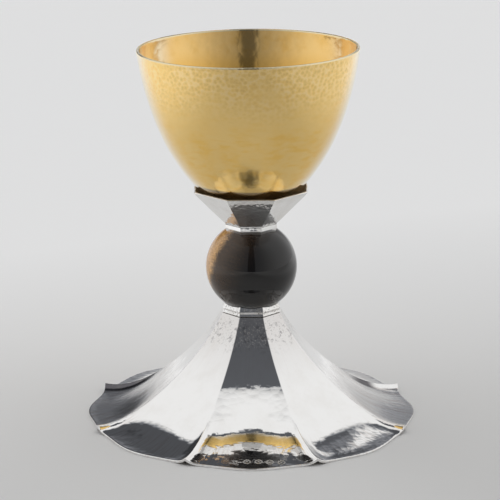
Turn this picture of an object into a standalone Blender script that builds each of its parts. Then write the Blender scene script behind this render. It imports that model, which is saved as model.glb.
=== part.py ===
"""Chalice with a gilt bowl, an eight-sided calyx, a polished stone knop and an eight-gored silver foot.

Metres, +Z up. The origin is on the table, under the middle of the foot, and the front gore faces -Y.
Everything is stacked from the foot upwards, and each piece sits on the one below with a small joint gap.
The stone is a ball. The calyx and, a little more, the bowl lean about its centre, as they do on the object.
"""
import math

import bmesh
import bpy

# Whole object
FACETS = 8                      # gores of the foot and sides of the calyx and of both rings
JOINT_GAP = 0.0003              # gap between pieces that touch
CALYX_LEAN = math.radians(0.4)  # tilt of the calyx and its ring about the stone's centre, towards -X
BOWL_LEAN = math.radians(0.85)  # tilt of the bowl about the same centre

# Foot: a raised sheet with a sharp ridge between two gores and a petal-shaped lobe at each gore's end
FOOT_HEIGHT = 0.0484
FOOT_RADIUS = 0.0733            # out to the tip of a ridge
FOOT_WALL = 0.00115
NECK_RADIUS = 0.0137            # corner radius where the foot meets the neck ring
RIDGE_TIP_HEIGHT = 0.0038
NECK_SPREAD = 0.122             # the ridge's curve leaves the neck towards this share of its reach
NECK_FALL = 0.342               # and this share of its drop
TIP_SPREAD = 0.612              # it nears its tip from this share of its reach
TIP_DIP = 0.038                 # and this share of its drop below the tip
LOBE_START = 0.0450             # ridge radius where the gores begin to dish
LOBE_BULGE = 0.0055             # how far a lobe's tip stands out past the chord between two ridges
LOBE_BULGE_GROWTH = 1.5         # how late the bulge grows along a gore
LOBE_DROP_GROWTH = 1.3          # how late the drop grows along a gore
LOBE_POINT = 2.5                # how pointed a lobe is in plan
FLANK_STEEPNESS = 11            # how close to the ridges a gore turns up
LOBE_SLOPE = math.radians(12.0)  # fall of the sheet at a lobe's tip
GROUND_TRIM = 0.00015           # depth that is filed off flat where the lobes stand

# Neck ring
NECK_RING_HEIGHT = 0.0041
NECK_RING_RADIUS = 0.0129       # corner radius at its top
NECK_RING_FLARE = 0.0008        # how much wider its band is lower down
NECK_FILLET_HEIGHT = 0.0018     # fillet between the band and the foot
NECK_STEP = 0.0003              # undercut below the band
RING_BORE = 0.0090              # corner radius of the bore of both rings

# Stone
STONE_RADIUS = 0.0200

# Ring between the stone and the calyx
CALYX_RING_HEIGHT = 0.0035
CALYX_RING_RADIUS = 0.0124      # corner radius at its widest line
CALYX_RING_SEAT = 0.0115        # corner radius where it meets the stone
CALYX_RING_CREST = 0.55         # height of the widest line, as a share of the ring

# Calyx
CALYX_HEIGHT = 0.0156
CALYX_WALL = 0.0010
CALYX_BASE_RADIUS = 0.0122      # corner radius at its lower end
CALYX_BOWL_GAP = 0.0011         # between the bowl and the middle of a facet, at the calyx's rim
CALYX_LIP_HEIGHT = 0.0018       # band at the rim that flares out a little more
CALYX_LIP_FLARE = 0.0002
SEAT_THICKNESS = 0.0038         # metal under the lowest point of the bowl
SEAT_DEPTH = 0.0021             # how deep the bowl sits in its seat

# Bowl
BOWL_HEIGHT = 0.0732
BOWL_RADIUS = 0.0482            # outside, just under the lip
BOWL_WALL = 0.0010
BOWL_FLOOR_SPREAD = 0.36        # the bowl's curve runs out level towards this share of its radius
BOWL_SIDE_SPREAD = 0.86         # and rises to its side past this share of its radius
BOWL_SIDE_RISE = 0.325          # at this share of its height
LIP_THICKNESS = 0.0013
LIP_HEIGHT = 0.0014
LIP_ROUNDING = 0.0003

# Smoothness
BOWL_STEPS = 48
BOWL_ROWS = 13
STONE_SEGMENTS = 40
STONE_RINGS = 20
FOOT_ROWS = 12
GORE_STEPS = 10
FLANK_CROWDING = 0.9            # how much a gore's steps crowd towards the ridges at its outer end

# Heights that follow from the sizes above
HALF_FACET = math.pi / FACETS
FACET_DEPTH = math.cos(HALF_FACET)      # middle of a facet, as a share of the corner radius
LOBE_DROP = RIDGE_TIP_HEIGHT + GROUND_TRIM - FOOT_WALL * math.cos(LOBE_SLOPE)
SEAT_RADIUS = STONE_RADIUS + JOINT_GAP
NECK_RING_Z = FOOT_HEIGHT + JOINT_GAP
NECK_RING_TOP = NECK_RING_Z + NECK_RING_HEIGHT
STONE_Z = NECK_RING_TOP + math.sqrt(SEAT_RADIUS ** 2 - NECK_RING_RADIUS ** 2)
CALYX_RING_Z = STONE_Z + math.sqrt(SEAT_RADIUS ** 2 - CALYX_RING_SEAT ** 2)
CALYX_RING_TOP = CALYX_RING_Z + CALYX_RING_HEIGHT
CALYX_Z = CALYX_RING_TOP + JOINT_GAP
CALYX_TOP = CALYX_Z + CALYX_HEIGHT
BOWL_Z = CALYX_Z + SEAT_THICKNESS + JOINT_GAP


def clear_scene():
    """Remove what the file was opened with."""
    for existing in list(bpy.data.objects):
        bpy.data.objects.remove(existing)


def make_material(name, color, roughness, metallic):
    """Return a Principled material with the piece's plain colour."""
    material = bpy.data.materials.new(name)
    material.use_nodes = True
    shader = material.node_tree.nodes["Principled BSDF"]
    shader.inputs["Base Color"].default_value = (*color, 1.0)
    shader.inputs["Roughness"].default_value = roughness
    shader.inputs["Metallic"].default_value = metallic
    return material


def add_object(name, mesh, collection, material=None):
    """Link a mesh to a collection as a named object."""
    item = bpy.data.objects.new(name, mesh)
    collection.objects.link(item)
    if material:
        mesh.materials.append(material)
    return item


def bezier(start, first_handle, second_handle, end, steps):
    """Return points (radius, height) along one cubic curve, from start to end."""
    points = []
    for step in range(steps + 1):
        t = step / steps
        s = 1.0 - t
        weights = (s ** 3, 3.0 * s * s * t, 3.0 * s * t * t, t ** 3)
        corners = (start, first_handle, second_handle, end)
        radius = sum(weight * corner[0] for weight, corner in zip(weights, corners))
        height = sum(weight * corner[1] for weight, corner in zip(weights, corners))
        points.append((radius, height))
    return points


def offset(points, distance):
    """Move an upward-running profile outwards by a distance, or inwards by a negative one."""
    moved = []
    for index, (radius, height) in enumerate(points):
        before = points[max(index - 1, 0)]
        after = points[min(index + 1, len(points) - 1)]
        run = after[0] - before[0]
        rise = after[1] - before[1]
        length = math.hypot(run, rise)
        moved.append((radius + distance * rise / length, height - distance * run / length))
    # The lowest point of a closed bowl stays on the axis
    if points[0][0] == 0.0:
        moved[0] = (0.0, points[0][1] - distance)
    return moved


def radius_at(points, height):
    """Return the radius of an upward-running profile at a height."""
    for (low_radius, low), (high_radius, high) in zip(points, points[1:]):
        if low <= height <= high:
            share = (height - low) / (high - low)
            return low_radius + share * (high_radius - low_radius)
    return points[-1][0]


def turned(name, profile, steps, collection, material=None, smooth=True):
    """Turn a profile of (radius, height) points about Z. It runs down the outer side first."""
    mesh = bpy.data.meshes.new(name)
    verts = [(radius, 0.0, height) for radius, height in profile]
    edges = [(index, index + 1) for index in range(len(verts) - 1)]
    closed_on_axis = profile[0][0] == 0.0 and profile[-1][0] == 0.0
    if not closed_on_axis:
        edges.append((len(verts) - 1, 0))
    mesh.from_pydata(verts, edges, [])
    item = add_object(name, mesh, collection, material)
    screw = item.modifiers.new("Turn", "SCREW")
    screw.axis = "Z"
    screw.angle = math.tau
    screw.steps = steps
    screw.render_steps = steps
    screw.use_merge_vertices = True
    screw.merge_threshold = 0.00001
    screw.use_smooth_shade = smooth
    return item


def faceted(name, profile, collection, material):
    """Turn a profile into an eight-sided piece with one side facing -Y. Radii are at the corners."""
    item = turned(name, profile, FACETS, collection, material, smooth=False)
    item.rotation_euler = (0.0, 0.0, HALF_FACET)
    return item


def cut(item, cutter):
    """Take a cutter's shape out of a piece."""
    boolean = item.modifiers.new("Cut", "BOOLEAN")
    boolean.operation = "DIFFERENCE"
    boolean.object = cutter


def hide_cutter(cutter):
    """Show a cutter as wires only."""
    cutter.hide_render = True
    cutter.display_type = "WIRE"
    return cutter


def ball(name, radius, segments, rings, collection, material=None):
    """Make a ball about its own origin."""
    mesh = bpy.data.meshes.new(name)
    bm = bmesh.new()
    bmesh.ops.create_uvsphere(bm, u_segments=segments, v_segments=rings, radius=radius)
    bm.to_mesh(mesh)
    bm.free()
    mesh.shade_smooth()
    return add_object(name, mesh, collection, material)


def ridge_profile():
    """Return the ridge's curve, from the neck down and out to its tip."""
    drop = FOOT_HEIGHT - RIDGE_TIP_HEIGHT
    reach = FOOT_RADIUS - NECK_RADIUS
    neck = (NECK_RADIUS, FOOT_HEIGHT)
    below_neck = (NECK_RADIUS + NECK_SPREAD * reach, FOOT_HEIGHT - NECK_FALL * drop)
    before_tip = (NECK_RADIUS + TIP_SPREAD * reach, RIDGE_TIP_HEIGHT - TIP_DIP * drop)
    tip = (FOOT_RADIUS, RIDGE_TIP_HEIGHT)
    return bezier(neck, below_neck, before_tip, tip, FOOT_ROWS)


def gore_point(radius, height, step):
    """Return a point across one gore, in its own frame: along, across and up.

    High up the gore is flat from ridge to ridge. Further out its middle drops and runs on into a lobe,
    and steep flanks are left beside the ridges, so the steps across it crowd towards them there.
    """
    growth = max(0.0, radius - LOBE_START) / (FOOT_RADIUS - LOBE_START)
    even = 2.0 * step / GORE_STEPS - 1.0
    station = math.copysign(1.0 - (1.0 - abs(even)) ** (1.0 + FLANK_CROWDING * growth), even)
    bulge = LOBE_BULGE * growth ** LOBE_BULGE_GROWTH * (1.0 - station ** 2) ** LOBE_POINT
    drop = LOBE_DROP * growth ** LOBE_DROP_GROWTH * (1.0 - abs(station) ** FLANK_STEEPNESS)
    along = radius * FACET_DEPTH + bulge
    across = station * radius * math.sin(HALF_FACET)
    return along, across, height - drop


def foot_sheet():
    """Loft the foot's upper surface from the eight-sided neck to the eight lobes."""
    bm = bmesh.new()
    rows = []
    for radius, height in ridge_profile():
        row = []
        for gore in range(FACETS):
            # The first gore points to -Y, and each gore's last step is the next one's first
            turn = gore * 2.0 * HALF_FACET - math.pi / 2.0
            for step in range(GORE_STEPS):
                along, across, up = gore_point(radius, height, step)
                x = along * math.cos(turn) - across * math.sin(turn)
                y = along * math.sin(turn) + across * math.cos(turn)
                row.append(bm.verts.new((x, y, up)))
        rows.append(row)
    for upper, lower in zip(rows, rows[1:]):
        for index in range(len(upper)):
            follow = (index + 1) % len(upper)
            bm.faces.new((upper[index], lower[index], lower[follow], upper[follow]))
    mesh = bpy.data.meshes.new("foot")
    bm.to_mesh(mesh)
    bm.free()
    mesh.shade_smooth()
    mesh.set_sharp_from_angle(angle=math.radians(20.0))
    return mesh


def build_foot(parts, cutters, silver):
    """Make the hollow foot and file it flat where it stands."""
    foot = add_object("foot", foot_sheet(), parts, silver)
    wall = foot.modifiers.new("Wall", "SOLIDIFY")
    wall.thickness = FOOT_WALL
    wall.offset = -1.0
    wall.use_even_offset = True
    slab = bpy.data.meshes.new("table_level")
    bm = bmesh.new()
    bmesh.ops.create_cube(bm, size=4.0 * FOOT_RADIUS)
    bmesh.ops.translate(bm, verts=bm.verts[:], vec=(0.0, 0.0, -2.0 * FOOT_RADIUS))
    bm.to_mesh(slab)
    bm.free()
    cut(foot, hide_cutter(add_object("table_level", slab, cutters)))


def build_neck_ring(parts, silver, stone_seat):
    """Make the ring that carries the stone on the foot."""
    band_radius = NECK_RING_RADIUS + NECK_RING_FLARE
    band_foot = NECK_RING_Z + NECK_FILLET_HEIGHT
    fillet_middle = NECK_RING_Z + 0.5 * NECK_FILLET_HEIGHT
    profile = [
        (NECK_RING_RADIUS, NECK_RING_TOP),
        (band_radius, band_foot),
        (band_radius - NECK_STEP, band_foot - NECK_STEP),
        (band_radius - NECK_STEP, fillet_middle),
        (NECK_RADIUS + NECK_STEP, NECK_RING_Z),
        (RING_BORE, NECK_RING_Z),
        (RING_BORE, NECK_RING_TOP),
    ]
    cut(faceted("neck_ring", profile, parts, silver), stone_seat)


def build_calyx_ring(parts, silver, stone_seat):
    """Make the bevelled ring between the stone and the calyx."""
    crest = CALYX_RING_Z + CALYX_RING_CREST * CALYX_RING_HEIGHT
    profile = [
        (CALYX_BASE_RADIUS, CALYX_RING_TOP),
        (CALYX_RING_RADIUS, crest),
        (CALYX_RING_SEAT, CALYX_RING_Z),
        (RING_BORE, CALYX_RING_Z),
        (RING_BORE, CALYX_RING_TOP),
    ]
    ring = faceted("calyx_ring", profile, parts, silver)
    cut(ring, stone_seat)
    return ring


def bowl_outside():
    """Return the bowl's outer curve, from its lowest point up to the foot of the lip."""
    height = BOWL_HEIGHT - LIP_HEIGHT
    bottom = (0.0, BOWL_Z)
    along_floor = (BOWL_FLOOR_SPREAD * BOWL_RADIUS, BOWL_Z)
    below_side = (BOWL_SIDE_SPREAD * BOWL_RADIUS, BOWL_Z + BOWL_SIDE_RISE * height)
    side_top = (BOWL_RADIUS, BOWL_Z + height)
    return bezier(bottom, along_floor, below_side, side_top, BOWL_ROWS)


def build_calyx(parts, cutters, silver):
    """Make the eight-sided funnel, and sink the bowl's seat into its thick base."""
    bowl_radius = radius_at(bowl_outside(), CALYX_TOP)
    rim_radius = (bowl_radius + CALYX_BOWL_GAP + CALYX_WALL) / FACET_DEPTH
    wall = CALYX_WALL / FACET_DEPTH
    lip_foot = CALYX_TOP - CALYX_LIP_HEIGHT
    slope = (rim_radius - CALYX_BASE_RADIUS) / CALYX_HEIGHT
    lip_foot_radius = rim_radius - slope * CALYX_LIP_HEIGHT - CALYX_LIP_FLARE
    seat_top = BOWL_Z + SEAT_DEPTH
    # The funnel's wall is measured square to its face
    level_wall = wall * math.hypot(1.0, slope)
    floor_radius = CALYX_BASE_RADIUS + slope * (seat_top - CALYX_Z) - level_wall
    outside = [
        (rim_radius, CALYX_TOP),
        (lip_foot_radius, lip_foot),
        (CALYX_BASE_RADIUS, CALYX_Z),
        (0.0, CALYX_Z),
    ]
    inside = [
        (0.0, seat_top),
        (floor_radius, seat_top),
        (lip_foot_radius - level_wall, lip_foot),
        (rim_radius - wall, CALYX_TOP),
    ]
    # The whole profile runs from the seat up the inside, over the rim and down the outside
    calyx = faceted("calyx", inside + outside, parts, silver)
    seat_curve = offset(bowl_outside(), JOINT_GAP)
    seat_profile = [(0.0, seat_curve[-1][1])] + seat_curve[::-1]
    bowl_seat = hide_cutter(turned("bowl_seat", seat_profile, BOWL_STEPS, cutters))
    cut(calyx, bowl_seat)
    return calyx, bowl_seat


def build_bowl(parts, gilt):
    """Make the hollow bowl with its slightly thicker, rounded lip."""
    outside = bowl_outside()
    inside = offset(outside, -BOWL_WALL)
    rim = BOWL_Z + BOWL_HEIGHT
    flare = (outside[-1][0] - outside[-2][0]) / (outside[-1][1] - outside[-2][1])
    rim_radius = BOWL_RADIUS + flare * LIP_HEIGHT
    lip = [
        (rim_radius - LIP_THICKNESS, rim - LIP_ROUNDING),
        (rim_radius - LIP_THICKNESS + LIP_ROUNDING, rim),
        (rim_radius - LIP_ROUNDING, rim),
        (rim_radius, rim - LIP_ROUNDING),
    ]
    return turned("bowl", inside + lip + outside[::-1], BOWL_STEPS, parts, gilt)


def lean_about_stone(name, lean, items, collection):
    """Tilt some of the pieces above the stone about its centre, all together."""
    pivot = bpy.data.objects.new(name, None)
    collection.objects.link(pivot)
    pivot.location = (0.0, 0.0, STONE_Z)
    pivot.rotation_euler = (0.0, -lean, 0.0)
    for item in items:
        item.parent = pivot
        item.location = (0.0, 0.0, -STONE_Z)


def main():
    """Build every piece in its own node."""
    clear_scene()
    parts = bpy.data.collections.new("chalice")
    cutters = bpy.data.collections.new("cutters")
    bpy.context.scene.collection.children.link(parts)
    bpy.context.scene.collection.children.link(cutters)

    gilt = make_material("gilt", (0.83, 0.63, 0.28), 0.28, 1.0)
    silver = make_material("silver", (0.86, 0.85, 0.83), 0.18, 1.0)
    stone = make_material("stone", (0.055, 0.038, 0.028), 0.08, 0.0)

    build_foot(parts, cutters, silver)
    knop = ball("stone_knop", STONE_RADIUS, STONE_SEGMENTS, STONE_RINGS, parts, stone)
    knop.location = (0.0, 0.0, STONE_Z)
    seat_ball = ball("stone_seat", SEAT_RADIUS, 2 * STONE_SEGMENTS, 2 * STONE_RINGS, cutters)
    seat_ball.location = (0.0, 0.0, STONE_Z)
    hide_cutter(seat_ball)
    build_neck_ring(parts, silver, seat_ball)
    calyx_ring = build_calyx_ring(parts, silver, seat_ball)
    calyx, bowl_seat = build_calyx(parts, cutters, silver)
    bowl = build_bowl(parts, gilt)
    lean_about_stone("calyx_lean", CALYX_LEAN, [calyx_ring, calyx], parts)
    lean_about_stone("bowl_lean", BOWL_LEAN, [bowl, bowl_seat], parts)


main()
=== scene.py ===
"""Chalice: the finished surfaces of the foot, the rings, the stone, the calyx and the gilt bowl.

Metres, +Z up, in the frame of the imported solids. The front gore of the foot faces -Y.
Each piece is made again as a fine mesh in the place of its solid, and dressed with its own finish.
"""
import functools
import logging
import math
from dataclasses import dataclass
from enum import Enum
from typing import Callable, Sequence

import bpy
import numpy as np
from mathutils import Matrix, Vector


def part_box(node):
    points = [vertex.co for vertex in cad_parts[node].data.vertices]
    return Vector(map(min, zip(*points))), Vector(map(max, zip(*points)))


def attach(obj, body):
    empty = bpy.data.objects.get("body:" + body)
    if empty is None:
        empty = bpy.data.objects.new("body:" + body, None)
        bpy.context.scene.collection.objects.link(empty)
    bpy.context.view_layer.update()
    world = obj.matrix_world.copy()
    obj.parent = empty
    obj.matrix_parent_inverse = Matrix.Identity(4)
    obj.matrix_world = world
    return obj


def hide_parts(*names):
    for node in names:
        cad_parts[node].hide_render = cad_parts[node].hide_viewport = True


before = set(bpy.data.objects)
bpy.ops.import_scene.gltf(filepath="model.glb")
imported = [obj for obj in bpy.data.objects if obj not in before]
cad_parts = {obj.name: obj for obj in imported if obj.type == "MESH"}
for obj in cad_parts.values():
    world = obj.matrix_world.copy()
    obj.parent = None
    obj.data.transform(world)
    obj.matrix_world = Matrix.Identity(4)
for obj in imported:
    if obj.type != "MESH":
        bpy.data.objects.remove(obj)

log = logging.getLogger("chalice")

FACETS = 8
HALF_FACET = math.pi / FACETS
FACET_DEPTH = math.cos(HALF_FACET)
JOINT_GAP = 0.0003
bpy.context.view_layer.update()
ON_OUTSIDE = "outside"
TINY = 1e-9
# How many rows a softened corner becomes
CORNER_ROWS = 5
# How far apart the columns beside an edge are, as a share of its rounding
EDGE_STEP = 0.6

Colour = tuple[float, float, float]
Range = tuple[float, float]
Socket = bpy.types.NodeSocket
Sockets = bpy.types.bpy_prop_collection

# Bounds of a mask that is 0 on the whole chalice
NOWHERE: Range = (1.0, 2.0)


class Slot(Enum):
    """The names of the three kinds of finish."""

    GILT = "gilt"
    SILVER = "silver"
    STONE = "stone"


# Curves and grids of points

def bezier(corners: Sequence[Range], t: np.ndarray) -> np.ndarray:
    """Return points along one cubic curve.

    Args:
        corners: The start, the two handles and the end, as (radius, height).
        t: Where along the curve, from 0 to 1.

    Returns:
        Rows of (radius, height).
    """
    t = t[:, None]
    s = 1.0 - t
    start, first, second, end = (np.array(corner) for corner in corners)
    return s ** 3 * start + 3.0 * s * s * t * first + 3.0 * s * t * t * second + t ** 3 * end


def offset_profile(points: np.ndarray, distance: float) -> np.ndarray:
    """Move an upward-running profile outwards, or inwards by a negative distance.

    Args:
        points: Rows of (radius, height), from the bottom up.
        distance: How far to move it, square to itself.

    Returns:
        The moved rows. A first point on the axis stays on it.
    """
    tangent = np.gradient(points, axis=0)
    tangent /= np.linalg.norm(tangent, axis=1)[:, None]
    moved = points + distance * np.column_stack((tangent[:, 1], -tangent[:, 0]))
    if points[0, 0] == 0.0:
        moved[0] = (0.0, points[0, 1] - distance)
    return moved


def softened(corners: Sequence[Range], radius: float) -> np.ndarray:
    """Round the corners of a profile, and add a row beside each so that the flats stay flat.

    Args:
        corners: (radius, height) of each corner. The first and the last stay sharp.
        radius: How far from a corner its rounding starts.

    Returns:
        Rows of (radius, height).
    """
    points = np.array(corners, float)
    longest, cut, guard = 0.3, 0.3, 1.5
    rows = [points[0]]
    for last, corner, following in zip(points, points[1:], points[2:]):
        before, after = last - corner, following - corner
        reach = min(radius, longest * np.linalg.norm(before), longest * np.linalg.norm(after))
        before *= reach / np.linalg.norm(before)
        after *= reach / np.linalg.norm(after)
        rows += [corner + guard * before, corner + before, corner + cut * (before + after),
                 corner + after, corner + guard * after]
    return np.array([*rows, points[-1]])


def crowded_stations(half_width: np.ndarray, count: int, crowding: np.ndarray, edge: float) -> np.ndarray:
    """Place the columns across a facet, close together beside its two edges.

    Args:
        half_width: Half of the facet's width, for each row.
        count: The number of spans between the edges.
        crowding: How much each row's columns crowd outwards.
        edge: The distance between the columns beside an edge.

    Returns:
        An array of rows x columns of stations from -1 to 1.
    """
    widest = 0.05
    even = np.linspace(-1.0, 1.0, count + 1)[None, :]
    power = 1.0 + crowding[:, None]
    step = np.minimum(edge / np.maximum(half_width, TINY), widest)[:, None]
    middle = np.copysign(1.0 - (1.0 - np.abs(even)) ** power, even) * (1.0 - 3.0 * step)
    return np.hstack((-1.0 + 0.0 * step, -1.0 + step, -1.0 + 2.0 * step, middle,
                      1.0 - 2.0 * step, 1.0 - step, 1.0 + 0.0 * step))


def rounded_facet(plain: Callable[[np.ndarray], np.ndarray], station: np.ndarray,
                  half_width: np.ndarray, rounding: float) -> np.ndarray:
    """Round the edges between the facets by averaging over a short way around the piece.

    Args:
        plain: Gives x, y, z on the facet that faces -Y, for stations from -1 to 1.
        station: Rows x columns of stations.
        half_width: Half of the facet's width, for each row.
        rounding: How far to each side the average runs.

    Returns:
        Rows x columns x 3 points.
    """
    samples, widest = 7, 0.2
    reach = np.minimum(rounding / np.maximum(half_width, TINY), widest)[:, None]
    total = np.zeros((*station.shape, 3))
    for shift in np.linspace(-1.0, 1.0, samples):
        moved = station + shift * reach
        turns = np.round(0.5 * moved)
        points = plain(moved - 2.0 * turns)
        angle = 2.0 * HALF_FACET * turns
        x = points[..., 0] * np.cos(angle) - points[..., 1] * np.sin(angle)
        y = points[..., 0] * np.sin(angle) + points[..., 1] * np.cos(angle)
        total += np.stack((x, y, points[..., 2]), axis=-1)
    return total / samples


def facet_points(radius: np.ndarray, height: np.ndarray, station: np.ndarray,
                 roundness: np.ndarray | float = 0.0) -> np.ndarray:
    """Place points on the facet that faces -Y.

    Args:
        radius: The radius at the facet's edge.
        height: The height.
        station: From -1 at the facet's left edge to 1 at its right one.
        roundness: 0 on a flat facet, 1 on a round piece.

    Returns:
        Points of x, y, z.
    """
    angle = HALF_FACET * station
    across = (1.0 - roundness) * station * math.sin(HALF_FACET) + roundness * np.sin(angle)
    along = (1.0 - roundness) * FACET_DEPTH + roundness * np.cos(angle)
    return np.stack((radius * across, -radius * along, height + 0.0 * station), axis=-1)


def turn_points(profile: np.ndarray, columns: int, slices: int) -> np.ndarray:
    """Turn a profile through one slice of a round piece, about the direction that faces -Y.

    Args:
        profile: Rows of (radius, height).
        columns: The number of spans in the slice.
        slices: How many slices make the whole round.

    Returns:
        Rows x columns x 3 points.
    """
    angle = np.linspace(-math.pi, math.pi, columns + 1)[None, :] / slices
    radius, height = profile[:, :1], profile[:, 1:]
    return np.stack((radius * np.sin(angle), -radius * np.cos(angle), height + 0.0 * angle), axis=-1)


def grid_mesh(name: str, points: np.ndarray, closed: bool, gap: int | None = None,
              outside: slice = slice(None)) -> bpy.types.Mesh:
    """Make a mesh of quads from a grid of points.

    Args:
        name: The mesh's name.
        points: Rows x columns x 3. Rows run down the outer side, columns to the right.
        closed: Whether the last row joins the first.
        gap: A row that doesn't join the next one, because both are on the axis.
        outside: The rows that are the outer side.

    Returns:
        The new smooth mesh, with an attribute that is 1 on the outer side.
    """
    rows, columns, _ = points.shape
    index = np.arange(rows * columns).reshape(rows, columns)
    upper = index if closed else index[:-1]
    lower = np.roll(index, -1, axis=0) if closed else index[1:]
    if gap is not None:
        upper, lower = np.delete(upper, gap, axis=0), np.delete(lower, gap, axis=0)
    quads = np.stack((upper[:, :-1], lower[:, :-1], lower[:, 1:], upper[:, 1:]), axis=-1)
    mesh = bpy.data.meshes.new(name)
    mesh.from_pydata(points.reshape(-1, 3).tolist(), [], quads.reshape(-1, 4).tolist())
    mesh.shade_smooth()
    share = np.zeros((rows, columns))
    share[outside] = 1.0
    mesh.attributes.new(ON_OUTSIDE, "FLOAT", "POINT").data.foreach_set("value", share.ravel())
    return mesh


def lean_mesh(mesh: bpy.types.Mesh, lean: float, pivot: float) -> None:
    """Lean a whole mesh towards -X about a point on the axis.

    Args:
        mesh: The mesh.
        lean: The angle in radians.
        pivot: The point's height.
    """
    flat = np.empty(3 * len(mesh.vertices))
    mesh.vertices.foreach_get("co", flat)
    x, y, z = flat.reshape(-1, 3).T
    rise = z - pivot
    moved = np.column_stack((x * math.cos(lean) - rise * math.sin(lean), y,
                             pivot + x * math.sin(lean) + rise * math.cos(lean)))
    mesh.vertices.foreach_set("co", moved.ravel())
    mesh.update()


# Node trees

class Tree:
    """A node tree that is written in lines: each node is added and joined in one call."""

    def __init__(self, tree: bpy.types.NodeTree) -> None:
        """Wrap a node tree."""
        self.tree = tree

    def add(self, kind: str, settings: dict[str, object] | None = None, **sockets: object) -> bpy.types.Node:
        """Add a node.

        Args:
            kind: The node's type.
            settings: Values of the node's own properties.
            **sockets: Its inputs, as in join.

        Returns:
            The new node.
        """
        node = self.tree.nodes.new(kind)
        for key, value in (settings or {}).items():
            setattr(node, key, value)
        return self.join(node, **sockets)

    def join(self, node: bpy.types.Node, **sockets: object) -> bpy.types.Node:
        """Link or set a node's inputs.

        Args:
            node: The node.
            **sockets: Inputs by name, with underscores for spaces, or by place as s0, s1.
                A socket is linked and a value is set.

        Returns:
            The same node.
        """
        for key, value in sockets.items():
            target = node.inputs[int(key[1:])] if key[1:].isdigit() else node.inputs[key.replace("_", " ")]
            if isinstance(value, Socket):
                self.tree.links.new(value, target)
            else:
                target.default_value = value
        return node

    def math(self, operation: str, *values: object) -> Socket:
        """Add a Math node.

        Args:
            operation: The operation's name.
            *values: Its operands, each a socket or a number.

        Returns:
            Its result.
        """
        operands = {f"s{place}": value for place, value in enumerate(values)}
        return self.add("ShaderNodeMath", {"operation": operation}, **operands).outputs[0]

    def times(self, *values: object) -> Socket:
        """Return the product of sockets and numbers."""
        return functools.reduce(lambda product, value: self.math("MULTIPLY", product, value), values)

    def plus(self, *values: object) -> Socket:
        """Return the sum of sockets and numbers."""
        return functools.reduce(lambda total, value: self.math("ADD", total, value), values)

    def per(self, length: Socket) -> Socket:
        """Return how often a length goes into a metre."""
        return self.math("DIVIDE", 1.0, length)

    def away(self, value: Socket, middle: float) -> Socket:
        """Return how far a value is from a middle one."""
        return self.math("ABSOLUTE", self.math("SUBTRACT", value, middle))

    def vector(self, operation: str, *values: object, **sockets: object) -> Socket:
        """Add a Vector Math node.

        Args:
            operation: The operation's name.
            *values: Its operands, each a socket or three numbers.
            **sockets: Its other inputs, by name.

        Returns:
            Its result.
        """
        operands = {f"s{place}": value for place, value in enumerate(values)}
        node = self.add("ShaderNodeVectorMath", {"operation": operation}, **operands, **sockets)
        return node.outputs["Value" if operation in ("LENGTH", "DOT_PRODUCT") else "Vector"]

    def noise(self, place: Socket, scale: object, detail: float, roughness: float = 0.5,
              seed: object = None) -> Socket:
        """Add a noise.

        Args:
            place: Where it is read.
            scale: How often it repeats in a metre.
            detail: How many finer layers it has.
            roughness: How strong those are.
            seed: Picks another noise of the same kind.

        Returns:
            Its value.
        """
        settings = {} if seed is None else {"noise_dimensions": "4D"}
        extra = {} if seed is None else {"W": seed}
        return self.add("ShaderNodeTexNoise", settings, Vector=place, Scale=scale, Detail=detail,
                        Roughness=roughness, **extra).outputs[0]

    def rise(self, value: Socket, start: object, full: object) -> Socket:
        """Return a mask that goes softly from 0 at one value to 1 at another."""
        return self.add("ShaderNodeMapRange", {"interpolation_type": "SMOOTHSTEP"}, Value=value,
                        From_Min=start, From_Max=full).outputs[0]

    def spread(self, mask: Socket, low: float, high: float) -> Socket:
        """Spread a mask evenly over a range of values."""
        return self.add("ShaderNodeMapRange", Value=mask, To_Min=low, To_Max=high).outputs[0]

    def between(self, mask: Socket, low: object, high: object) -> Socket:
        """Mix two numbers or sockets by a mask."""
        return self.add("ShaderNodeMix", {"data_type": "FLOAT"}, s0=mask, s2=low, s3=high).outputs[0]

    def over(self, mask: object, below: object, above: object) -> Socket:
        """Lay one colour over another by a mask. Each is a socket or three numbers."""
        low, high = (colour if isinstance(colour, Socket) else (*colour, 1.0) for colour in (below, above))
        return self.add("ShaderNodeMix", {"data_type": "RGBA"}, s0=mask, s6=low, s7=high).outputs[2]

    def input(self, name: str, kind: str, value: object = None) -> None:
        """Add a named input to a group's interface.

        Args:
            name: The input's name.
            kind: Its type, such as Float or Vector.
            value: Its value, if it has one.
        """
        socket = self.tree.interface.new_socket(name, in_out="INPUT", socket_type=f"NodeSocket{kind}")
        if value is not None:
            socket.default_value = value

    def output(self, name: str, kind: str) -> None:
        """Add a named output to a group's interface."""
        self.tree.interface.new_socket(name, in_out="OUTPUT", socket_type=f"NodeSocket{kind}")


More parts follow.
